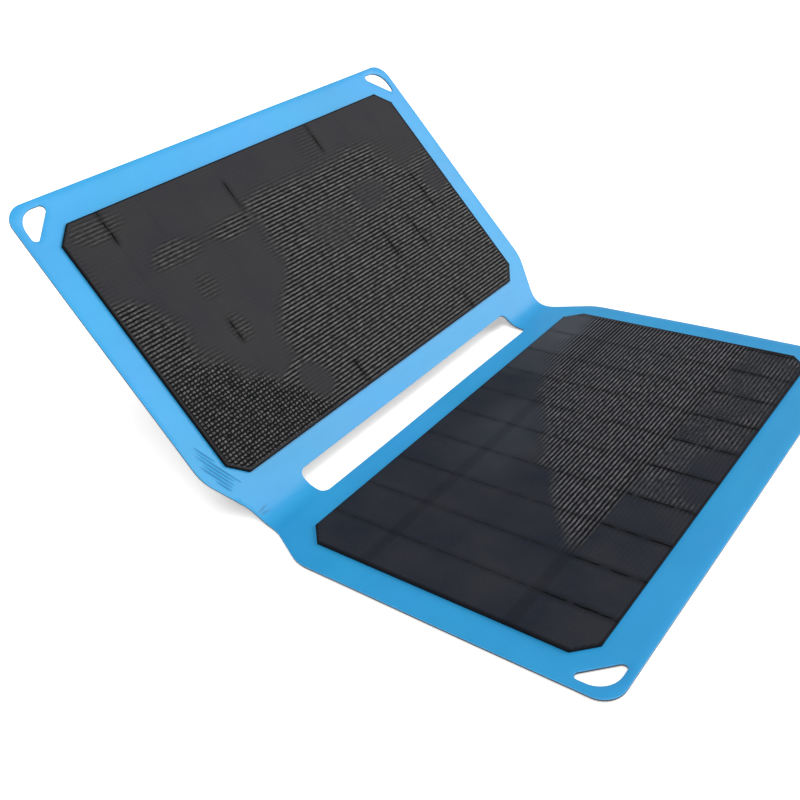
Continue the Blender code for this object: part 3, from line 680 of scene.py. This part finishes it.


# The rib tones, lighter than the smooth ones, are painted highlight on the ribs' tops.
FLAT_SMOOTH = ((0.0150, 0.0180, 0.0270), (0.0230, 0.0250, 0.0310))
FLAT_RIB_HIGHLIGHTS = ((0.036, 0.036, 0.042), (0.150, 0.150, 0.160))
# The raised plate's smooth tones are lighter and less blue than the flat plate's: painted sheen.
RAISED_SMOOTH = ((0.0240, 0.0225, 0.0270), (0.0290, 0.0290, 0.0305))
RAISED_RIB_HIGHLIGHTS = ((0.030, 0.031, 0.030), (0.135, 0.136, 0.132))
MATERIALS = {
    "rim_fabric": coated_fabric(),
    "back_fabric": woven_back(),
    "film_flat": embossed_film("embossed_film_flat", FLAT_SMOOTH, FLAT_RIB_HIGHLIGHTS, -2.4, 0.70),
    "film_raised": embossed_film("embossed_film_raised", RAISED_SMOOTH, RAISED_RIB_HIGHLIGHTS, 0.0, 0.95),
    "silicon_cell": silicon(),
    "foam_pad": foam(),
    "circuit_laminate": circuit_laminate(),
    "light_pipe_plastic": light_pipe_plastic(),
}
# Dark and light colour, roughness from and to, size of the grain and its depth in millimetres.
PLASTICS = {
    "backing_board": ((0.010, 0.010, 0.011), (0.018, 0.018, 0.020), (0.50, 0.65), 0.35, 0.03),
    "housing_plastic": ((0.010, 0.010, 0.011), (0.017, 0.017, 0.018), (0.42, 0.58), 0.35, 0.03),
    "tongue_plastic": ((0.60, 0.60, 0.58), (0.70, 0.70, 0.69), (0.42, 0.58), 0.35, 0.01),
    "ferrite": ((0.030, 0.030, 0.032), (0.050, 0.050, 0.052), (0.60, 0.75), 0.20, 0.04),
    "chip_epoxy": ((0.008, 0.008, 0.008), (0.014, 0.014, 0.014), (0.40, 0.50), 0.15, 0.02),
    "flap_rubber": ((0.009, 0.009, 0.009), (0.016, 0.016, 0.016), (0.68, 0.82), 0.25, 0.04),
}
# Dark and light colour, roughness from and to, and how far the drawing marks are stretched.
METALS = {
    "tinned_ribbon": ((0.48, 0.48, 0.47), (0.62, 0.62, 0.61), (0.30, 0.42), (1, 8, 1)),
    "screw_steel": ((0.33, 0.33, 0.34), (0.50, 0.50, 0.51), (0.28, 0.40), (1, 8, 1)),
    "socket_tin": ((0.58, 0.58, 0.59), (0.70, 0.70, 0.71), (0.20, 0.32), (1, 8, 1)),
    "capacitor_can": ((0.50, 0.50, 0.52), (0.64, 0.64, 0.66), (0.25, 0.35), (8, 8, 1)),
}
MATERIALS |= {name: moulded_plastic(name, *values) for name, values in PLASTICS.items()}
MATERIALS |= {name: brushed_metal(name, *values) for name, values in METALS.items()}


# -------- skins


def crease_line(number, start, end):
    """One of the parallel creases, from start to end along their direction, in millimetres."""
    along, across = Vector((0.92, 0.39)), Vector((-0.39, 0.92))
    away = across * -(CREASE_AWAY + CREASE_PITCH * number)
    return tuple(along * start + away), tuple(along * end + away)


CREASE_AWAY, CREASE_PITCH = 91.2, 1.42
CREASE_SPANS = [(-84, -73), (-82, -59), (-82, -62), (-77, -61), (-78, -61), (-69, -61)]
CREASES = [crease_line(number, *span) for number, span in enumerate(CREASE_SPANS)]
CREASES += [((-4.4, -110.6), (-5.4, -105.2)), ((-3.0, -110.0), (-3.0, -104.6))]


def creases(x, y):
    """How deep the fine creases by the raised panel's near hinge corner are at each point."""
    points = np.column_stack([x, y]) / MM
    depth = np.zeros(len(points))
    for start, end in CREASES:
        start, run = np.array(start), np.array(end) - np.array(start)
        share = (points - start) @ run / (run @ run)
        away = np.abs((points - start) @ np.array([-run[1], run[0]])) / np.linalg.norm(run)
        fade = np.clip(1 - (2 * share - 1) ** 2, 0, 1)
        depth += np.sqrt(fade) * (np.exp(-(away / 0.30) ** 2) - 0.3 * np.exp(-((away - 0.65) / 0.3) ** 2))
    return CREASE_DEPTH * depth


def rim_waves(x, y):
    """How far the loose fabric round the plates lifts: nothing beside the plates, a little at the edges."""
    points = np.column_stack([x, y])
    away = np.minimum(*(distance_to(points, np.array(octagon(side))) for side in (-1, 1)))
    for side in (-1, 1):
        away[inside(points, np.array(octagon(side)))] = 0
    loose = smoothstep(2.5 * MM, 15 * MM, away)
    waves = 0.5 + 0.28 * np.sin(y / (21 * MM) + 1.3 * np.sin(x / (47 * MM)))
    waves += 0.22 * np.sin(x / (17 * MM) + y / (63 * MM) + 0.7)
    return WAVE_HEIGHT * loose * waves - creases(x, y)


def clear_of_jumper(places, low, high):
    """A skin's heights, with its inner face moved clear of the lead strip between the two skins.

    That face is the underside of the front skin and the top of the back one, whose low is 0.
    """
    x, y, z = places.T
    near = (np.abs(x) < JUMPER_HIGH.x - HINGE_X + POCKET_MARGIN) & (y > JUMPER_LOW.y - POCKET_MARGIN)
    near &= y < JUMPER_HIGH.y + POCKET_MARGIN
    if low > 0:
        return np.where(near & (z < low + SAME_LEVEL), JUMPER_HIGH.z + POCKET_CLEARANCE, z)
    return np.where(near & (z > high - SAME_LEVEL), JUMPER_LOW.z - POCKET_CLEARANCE, z)


def make_skin(name, heights, holes, dense_areas, slot, nodes):
    """A skin across both panels, folded at the hinge."""
    low, high = heights
    skin = add(name, sheet_mesh(name, skin_outline(), holes, dense_areas))
    skin.data.transform(Matrix.Translation((0, 0, high)))
    thickness = skin.modifiers.new("Thickness", "SOLIDIFY")
    thickness.thickness = high - low
    thickness.offset = -1
    bevel(skin, RIM_ROUNDING, 2, 60)
    apply_modifiers(skin)
    co = coordinates(skin.data)
    store(skin.data, "place", co / MM)
    x, y, _ = co.T
    z = clear_of_jumper(co, low, high) + rim_waves(x, y)
    # The fabric's colour reads the crease layer and paints shade along the creases.
    store(skin.data, "crease", np.clip(creases(x, y) / CREASE_DEPTH, 0, 1))
    set_coordinates(skin.data, fold(np.column_stack([x, y, z])))
    skin.data.shade_smooth()
    skin.data.set_sharp_from_angle(angle=math.radians(50))
    dress(skin.data, slot)
    bend_with_joint(skin)
    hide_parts(*nodes)
    return skin


def area_of(outline, holes):
    """The area inside an outline and outside its holes."""
    def shoelace(loop):
        return abs(sum(a.x * b.y - b.x * a.y for a, b in zip(loop, loop[1:] + loop[:1]))) / 2

    return shoelace(outline) - sum(shoelace(hole) for hole in holes)


SHARED_HOLES = [slot_outline()] + [hook_hole(side_x, side_y) for side_x in (-1, 1) for side_y in (-1, 1)]
FRONT_HOLES = SHARED_HOLES + [octagon(side, -WINDOW_INSET) for side in (-1, 1)]
BACK_HOLES = SHARED_HOLES + [lead_hole(side_y) for side_y in (-1, 1)]

front_skin = make_skin("front_skin", FRONT_SKIN, FRONT_HOLES, WRINKLED, "rim_fabric",
                       ["front_sheet_flat", "front_sheet_raised"])
back_skin = make_skin("back_skin", BACK_SKIN, BACK_HOLES, WRINKLED, "back_fabric",
                      ["back_sheet_flat", "back_sheet_raised"])
area_of(skin_outline(), FRONT_HOLES)
area_of(skin_outline(), BACK_HOLES)


def make_jumper():
    """The lead strip between the skins, through the far web of the hinge."""
    end = JUMPER_HIGH.x - HINGE_X
    columns = np.linspace(-end, end, round(2 * end / FINE) + 1)
    work = bmesh.new()
    rows = [[work.verts.new((x, y, JUMPER_HIGH.z)) for x in columns] for y in (JUMPER_LOW.y, JUMPER_HIGH.y)]
    for k in range(len(columns) - 1):
        work.faces.new([rows[0][k], rows[0][k + 1], rows[1][k + 1], rows[1][k]])
    mesh = bpy.data.meshes.new("jumper_strip")
    work.to_mesh(mesh)
    work.free()
    strip = add("jumper_strip", mesh)
    thickness = strip.modifiers.new("Thickness", "SOLIDIFY")
    thickness.thickness = JUMPER_HIGH.z - JUMPER_LOW.z
    apply_modifiers(strip)
    x, y, z = coordinates(strip.data).T
    set_coordinates(strip.data, fold(np.column_stack([x, y, z + rim_waves(x, y)])))
    dress(strip.data, "tinned_ribbon")
    bend_with_joint(strip)
    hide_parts("jumper_strip_flat", "jumper_strip_raised")


make_jumper()


# -------- plates


def grid_lines(low, high, middle, pitch, offsets, grooved=(-math.inf, math.inf)):
    """Grid lines for a row of grooves, close together along both edges, and one a pitch where it's plain."""
    first = math.ceil((low - middle) / pitch)
    last = math.floor((high - middle) / pitch)
    lines = [middle + k * pitch + offset for k in range(first, last + 1)
             for offset in (offsets if grooved[0] < k * pitch < grooved[1] else (0.0,))]
    clear = PLATE_EDGE_REACH + EDGE_CLEAR
    lines = [line for line in lines if low + clear < line < high - clear]
    return np.array([low + e for e in EDGE_LINES] + lines + [high - e for e in reversed(EDGE_LINES)])


class PlatePlaces:
    """Points on a plate: across from its hinge edge and along from its near end, in mm.

    The ripple makes every border that is drawn with it uneven.
    """

    def __init__(self, u, y):
        self.across = (u - PLATE_INNER_U) / MM
        self.along = (y + PLATE_HALF_LENGTH) / MM
        self.ripple = np.sin(self.across / 4.1 + 1.5 * np.sin(self.along / 9.7))
        self.ripple = self.ripple + np.sin(self.along / 3.3 + 1.9 * np.sin(self.across / 6.1))

    def past(self, value, edge, soft=5.0):
        """1 where a value is past an edge."""
        return smoothstep(-soft, soft, value - edge + 1.4 * self.ripple)

    def blob(self, middle, reach, soft=0.35):
        """1 inside an oval patch."""
        away = np.hypot((self.across - middle[0]) / reach[0], (self.along - middle[1]) / reach[1])
        return 1 - smoothstep(1 - soft, 1 + soft, away + self.ripple / 14)


def border(value, *corners):
    """A border's place for each value, along straight lines between its corners."""
    return np.interp(value, *zip(*corners))


# Where the gaps between the strips show on the raised plate: the gap's number from the near end, from, to.
SEEN_GAPS = [(1, 110, 130), (2, 48, 60), (4, -5, 15), (4, 100, 117), (7, 42, 60), (7, 110, 130),
             (8, -5, 10), (8, 42, 60), (9, 57, 80)]
# The raised plate's smooth patches and its patches of ribs: their strength, middle and reach.
SMOOTH_PATCHES = [(0.55, (80, 163), (8, 12)), (0.3, (74, 128), (10, 14)), (0.9, (16, 64), (9, 7)),
                  (0.9, (108, 206), (24, 20)), (0.7, (72, 213), (9, 9))]
RIBBED_PATCHES = [(0.75, (96, 43), (6, 13)), (0.9, (96, 77), (5, 14)), (0.55, (55, 47), (7, 5)),
                  (0.5, (77, 46), (6, 5)), (0.6, (120, 17), (6, 12)), (0.3, (112, 148), (14, 8))]


def raised_masks(at):
    """How strongly each layer shows on the raised plate's film, from 0 to 1: ribs, dots, gaps and painted sheen.
    """
    across, along = at.across, at.along
    dots = 1 - at.past(along, border(across, (0, 72), (22, 50), (47, 27), (82, 17), (90, 0)), 7)
    ribs = at.past(along, border(across, (0, 36), (24, 44), (30, 62), (43, 62), (72, 90), (100, 90)))
    ribs *= 1 - smoothstep(99, 112, across + at.ripple)
    for strength, middle, reach in SMOOTH_PATCHES:
        ribs *= 1 - strength * at.blob(middle, reach)
    patches = [strength * at.blob(middle, reach) for strength, middle, reach in RIBBED_PATCHES]
    ribs = 0.04 + 0.96 * np.maximum.reduce([ribs, dots] + patches)
    dots = dots * (1 - 0.5 * smoothstep(40, 60, across))
    gaps = np.full_like(across, 0.08)
    for number, start, end in SEEN_GAPS:
        near = 1 - smoothstep(4, 6, np.abs(along - number * CELL_PITCH / MM))
        near *= smoothstep(start - 3, start + 3, across) * (1 - smoothstep(end - 3, end + 3, across))
        gaps = np.maximum(gaps, near)
    return ribs, dots * ribs, gaps, np.zeros_like(across)


def flat_masks(at):
    """The same four layers on the flat plate's film. Outside its outer ribbon the ribs are weaker."""
    across, along = at.across, at.along
    inner = border(along, (40, 97), (65, 79), (88, 59), (120, 39), (152, 22), (180, 15))
    outer = smoothstep(97.5, 99.5, across)
    ribs = at.past(across, inner) * smoothstep(34, 56, along)
    ribs *= 1 - 0.92 * outer * (1 - at.past(along, 85))
    ribs *= 1 - outer * np.maximum(0.9 * at.blob((124, 112), (14, 20)), 0.28 + 0.10 * at.ripple)
    ribs = 0.03 + 0.97 * ribs
    dots = outer * at.past(along, 128) * (0.55 + 0.2 * at.ripple)
    # Painted sheen: pale patches, most of them near the hinge edge towards the far end.
    painted_sheen = np.maximum(0.3 * at.blob((34, 105), (14, 34), 0.8), 0.9 * at.blob((12, 205), (40, 34), 0.8))
    painted_sheen = np.maximum(painted_sheen, 0.35 * (1 - at.past(across, 26)) * at.past(along, 150))
    return ribs, dots * ribs, 0.50 + 0.50 * outer, painted_sheen


def groove_depth(value, pitch, floor, half):
    """1 on the floor of the grooves, 0 on the ribs."""
    away = np.abs((value / pitch + 0.5) % 1.0 - 0.5) * pitch
    return np.clip((half - away) / (half - floor), 0, 1)


def film_grid(name, side, dotted):
    """A flat grid over a plate's box, with lines where the grooves' edges and floors are."""
    low_x, high_x = sorted((side * PLATE_INNER_U, side * PLATE_OUTER_U))
    rib_lines = (-GROOVE_HALF, -GROOVE_FLOOR_HALF, GROOVE_FLOOR_HALF, GROOVE_HALF)
    dot_lines = (-CROSS_HALF, 0.0, CROSS_HALF)
    xs = grid_lines(low_x, high_x, side * PLATE_MIDDLE_U, RIB_PITCH, rib_lines)
    ys = grid_lines(-PLATE_HALF_LENGTH, PLATE_HALF_LENGTH, 0.0, DOT_PITCH, dot_lines, dotted)
    places = np.array([(x, y, 0.0) for y in ys for x in xs])
    width = len(xs)
    starts = [row * width + column for row in range(len(ys) - 1) for column in range(width - 1)]
    mesh = bpy.data.meshes.new(name)
    mesh.from_pydata(places.tolist(), [], [(k, k + 1, k + width + 1, k + width) for k in starts])
    return mesh


def clip_corners(work, outline):
    """Cuts a grid's corners off along the slanting stretches of a plate's outline."""
    reach = PLATE_CLIP + 2 * PLATE_CLIP_RADIUS
    ends = [extreme(p.x for p in outline) for extreme in (min, max)]
    corner = [f for f in work.faces if abs(f.verts[0].co.y) > PLATE_HALF_LENGTH - reach
              and min(abs(f.verts[0].co.x - end) for end in ends) < reach]
    for a, b in zip(outline, outline[1:] + outline[:1]):
        along = b - a
        if min(abs(along.x), abs(along.y)) < TINY:
            continue
        near = [f for f in corner if f.is_valid and (f.verts[0].co.xy - a).length < 2 * reach]
        geometry = near + list({e for f in near for e in f.edges}) + list({v for f in near for v in f.verts})
        made = bmesh.ops.bisect_plane(work, geom=geometry, dist=TINY, plane_co=(*a, 0),
                                      plane_no=(along.y, -along.x, 0), clear_outer=True)
        corner = [f for f in corner if f.is_valid]
        corner += [g for g in made["geom"] if isinstance(g, bmesh.types.BMFace)]
        corner = list(dict.fromkeys(corner))


def add_skirt(work, side):
    """Turns a grid into a closed tray: a wall down from its rim, and a ceiling over the cells."""
    centre = Vector((side * PLATE_MIDDLE_U, 0, 0))
    half_width = (PLATE_OUTER_U - PLATE_INNER_U) / 2
    shrink = Matrix.Diagonal((1 - SKIRT_WIDTH / half_width, 1 - SKIRT_WIDTH / PLATE_HALF_LENGTH, 1.0))
    rim = [e for e in work.edges if e.is_boundary]
    for level, narrow in ((SKIRT_LOW, False), (SKIRT_LOW, True), (PLATE_TOP - CEILING_GAP, False)):
        made = bmesh.ops.extrude_edge_only(work, edges=rim)["geom"]
        rim = [g for g in made if isinstance(g, bmesh.types.BMEdge)]
        for vert in {v for e in rim for v in e.verts}:
            place = Vector((vert.co.x, vert.co.y, 0)) - centre
            vert.co = centre + (shrink @ place if narrow else place)
            vert.co.z = level
    bmesh.ops.edgeloop_fill(work, edges=rim)
    bmesh.ops.recalc_face_normals(work, faces=work.faces)


def emboss(mesh, side, outline, masks):
    """Lowers the film's top into its grooves and over its edge, folds it, and stores its layers."""
    co = coordinates(mesh)
    x, y, z = co.T
    away = distance_to(np.column_stack([x, y]), np.array(outline))
    ribs, dots, gaps, painted_sheen = masks(PlatePlaces(np.abs(x), y))
    flat_margin = smoothstep(*FLAT_MARGIN, away)
    rib_depth = groove_depth(x - side * PLATE_MIDDLE_U, RIB_PITCH, GROOVE_FLOOR_HALF, GROOVE_HALF)
    sunk = np.maximum(ribs * rib_depth, dots * groove_depth(y, DOT_PITCH, 0.0, CROSS_HALF))
    edge = PLATE_EDGE_DROP * (1 - np.sqrt(1 - (1 - np.clip(away / PLATE_EDGE_REACH, 0, 1)) ** 2))
    z = np.where(z == 0, PLATE_TOP - RELIEF * sunk * flat_margin - edge, z)
    layers = {"place": co / MM, "ribs": ribs * flat_margin, "dots": dots * flat_margin, "gaps": gaps,
              "painted_sheen": painted_sheen, "edge": smoothstep(*DARK_MARGIN, away)}
    for layer, values in layers.items():
        store(mesh, layer, values)
    set_coordinates(mesh, fold(np.column_stack([x, y, z])))


def make_film(panel, side, dotted, masks):
    """A plate's cover with its embossed film: ribs along the hinge, crossed by grooves in one stretch."""
    mesh = film_grid(f"embossed_cover_{panel}", side, dotted)
    outline = octagon(side)
    work = bmesh.new()
    work.from_mesh(mesh)
    clip_corners(work, outline)
    add_skirt(work, side)
    work.to_mesh(mesh)
    work.free()
    emboss(mesh, side, outline, masks)
    film = add(f"embossed_cover_{panel}", mesh)
    mesh.shade_smooth()
    mesh.set_sharp_from_angle(angle=math.radians(60))
    dress(mesh, f"film_{panel}")
    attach(film, f"{panel}_panel")
    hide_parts(f"cover_film_{panel}")


make_film("flat", 1, (10 * MM, PLATE_HALF_LENGTH), flat_masks)
make_film("raised", -1, (-PLATE_HALF_LENGTH, -30 * MM), raised_masks)


# -------- the other pieces

FINISHES = {
    "backing_board": "backing_board", "cell": "silicon_cell", "bus_ribbon": "tinned_ribbon",
    "end_ribbon": "tinned_ribbon", "box_gasket": "foam_pad", "box_base": "housing_plastic",
    "box_lid": "housing_plastic", "circuit_board": "circuit_laminate", "inductor": "ferrite",
    "capacitor": "capacitor_can", "controller_chip": "chip_epoxy", "blocking_diode": "chip_epoxy",
    "light_pipe": "light_pipe_plastic", "lead_strip": "tinned_ribbon", "socket_shell": "socket_tin",
    "socket_tongue": "tongue_plastic", "lid_screw": "screw_steel", "flap_pin": "screw_steel",
    "port_flap": "flap_rubber",
}


def finish_of(node_name):
    """The finish that the start of a CAD node's name asks for, or None where a skin or film stands for it."""
    return next((finish for start, finish in FINISHES.items() if node_name.startswith(start)), None)


def body_name(node_name):
    """The body that a CAD node belongs to."""
    return next(body for body, nodes in frame["record"]["behaviour"]["bodies"].items() if node_name in nodes)


def round_edges(node_name, width):
    """A copy of a CAD piece with its hard edges rounded, which stands for it."""
    piece = add(f"{node_name}_rounded", frame["nodes"][node_name].data.copy())
    work = bmesh.new()
    work.from_mesh(piece.data)
    bmesh.ops.remove_doubles(work, verts=work.verts, dist=0.001 * MM)
    bmesh.ops.dissolve_limit(work, angle_limit=math.radians(0.5), verts=work.verts, edges=work.edges)
    work.to_mesh(piece.data)
    work.free()
    bevel(piece, width, 3, 40)
    piece.data.shade_smooth()
    piece.modifiers.new("Flat faces stay flat", "WEIGHTED_NORMAL").weight = 100
    apply_modifiers(piece)
    finish = finish_of(node_name)
    dress(piece.data, finish)
    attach(piece, body_name(node_name))
    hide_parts(node_name)


ROUNDED = {"box_lid": 0.6 * MM, "box_base": 0.4 * MM, "port_flap": 0.3 * MM, "inductor": 0.3 * MM}
for node_name, width in ROUNDED.items():
    round_edges(node_name, width)
for name, node in frame["nodes"].items():
    if finish_of(name) and not node.hide_render:
        dress(node.data, finish_of(name))


# -------- camera, light and floor

CAMERA_PLACE = (0.17195, -0.3042, 0.23695)
CAMERA_AZIMUTH, CAMERA_ELEVATION, CAMERA_ROLL = 41.476, 30.731, -7.857
CAMERA_LENS = 42.57

# The sky's strength falls from the first level to the second as its height rises between the two steps.
SKY = {"From Min": 0.12, "From Max": 0.36, "To Min": 1.1, "To Max": 0.33}
KEY_FROM, SOFTBOX_FROM = (0.20, -0.30, 0.60), (0.607, 0.644, 0.462)
FLOOR_REACH, FLOOR_LEVEL = 20, -0.6 * MM


def make_camera():
    """The camera that the photograph was fitted with."""
    azimuth, elevation, roll = (math.radians(a) for a in (CAMERA_AZIMUTH, CAMERA_ELEVATION, CAMERA_ROLL))
    ahead = Vector((-math.sin(azimuth) * math.cos(elevation), math.cos(azimuth) * math.cos(elevation),
                    -math.sin(elevation)))
    level = Vector((math.cos(azimuth), math.sin(azimuth), 0))
    right = level * math.cos(roll) + level.cross(ahead) * math.sin(roll)
    up = right.cross(ahead)
    camera = add("camera", bpy.data.cameras.new("camera"))
    camera.data.lens = CAMERA_LENS
    camera.data.clip_start = 0.01
    turn = Matrix((right, up, -ahead)).transposed().to_4x4()
    camera.matrix_world = Matrix.Translation(CAMERA_PLACE) @ turn
    bpy.context.scene.camera = camera


def make_sun(name, direction, factor, softness):
    """A soft light from a direction. The factor is how bright it shows a white surface that faces it."""
    light = bpy.data.lights.new(name, "SUN")
    light.energy = factor * math.pi
    light.angle = math.radians(softness)
    add(name, light).rotation_euler = Vector(direction).to_track_quat("Z", "Y").to_euler()


def make_sky():
    """An even light from above that grows to white at the horizon."""
    world = bpy.data.worlds.new("studio")
    world.use_nodes = True
    tree = world.node_tree
    direction = tree.nodes.new("ShaderNodeTexCoord")
    height = tree.nodes.new("ShaderNodeSeparateXYZ")
    strength = tree.nodes.new("ShaderNodeMapRange")
    strength.interpolation_type = "SMOOTHSTEP"
    for name, value in SKY.items():
        strength.inputs[name].default_value = value
    background = tree.nodes["Background"]
    background.inputs["Color"].default_value = (1, 1, 1, 1)
    tree.links.new(direction.outputs["Generated"], height.inputs[0])
    tree.links.new(height.outputs["Z"], strength.inputs["Value"])
    tree.links.new(strength.outputs[0], background.inputs["Strength"])
    bpy.context.scene.world = world


def make_floor():
    corners = [(x * FLOOR_REACH, y * FLOOR_REACH, FLOOR_LEVEL) for x, y in SQUARE]
    floor = bpy.data.meshes.new("floor")
    floor.from_pydata(corners, [], [(0, 1, 2, 3)])
    floor.materials.append(floor_paper())
    add("floor", floor)


make_camera()
make_sky()
make_sun("key", KEY_FROM, 0.62, 28)
make_sun("softbox", SOFTBOX_FROM, 0.55, 40)
make_floor()
bpy.context.scene.view_settings.view_transform = "Standard"
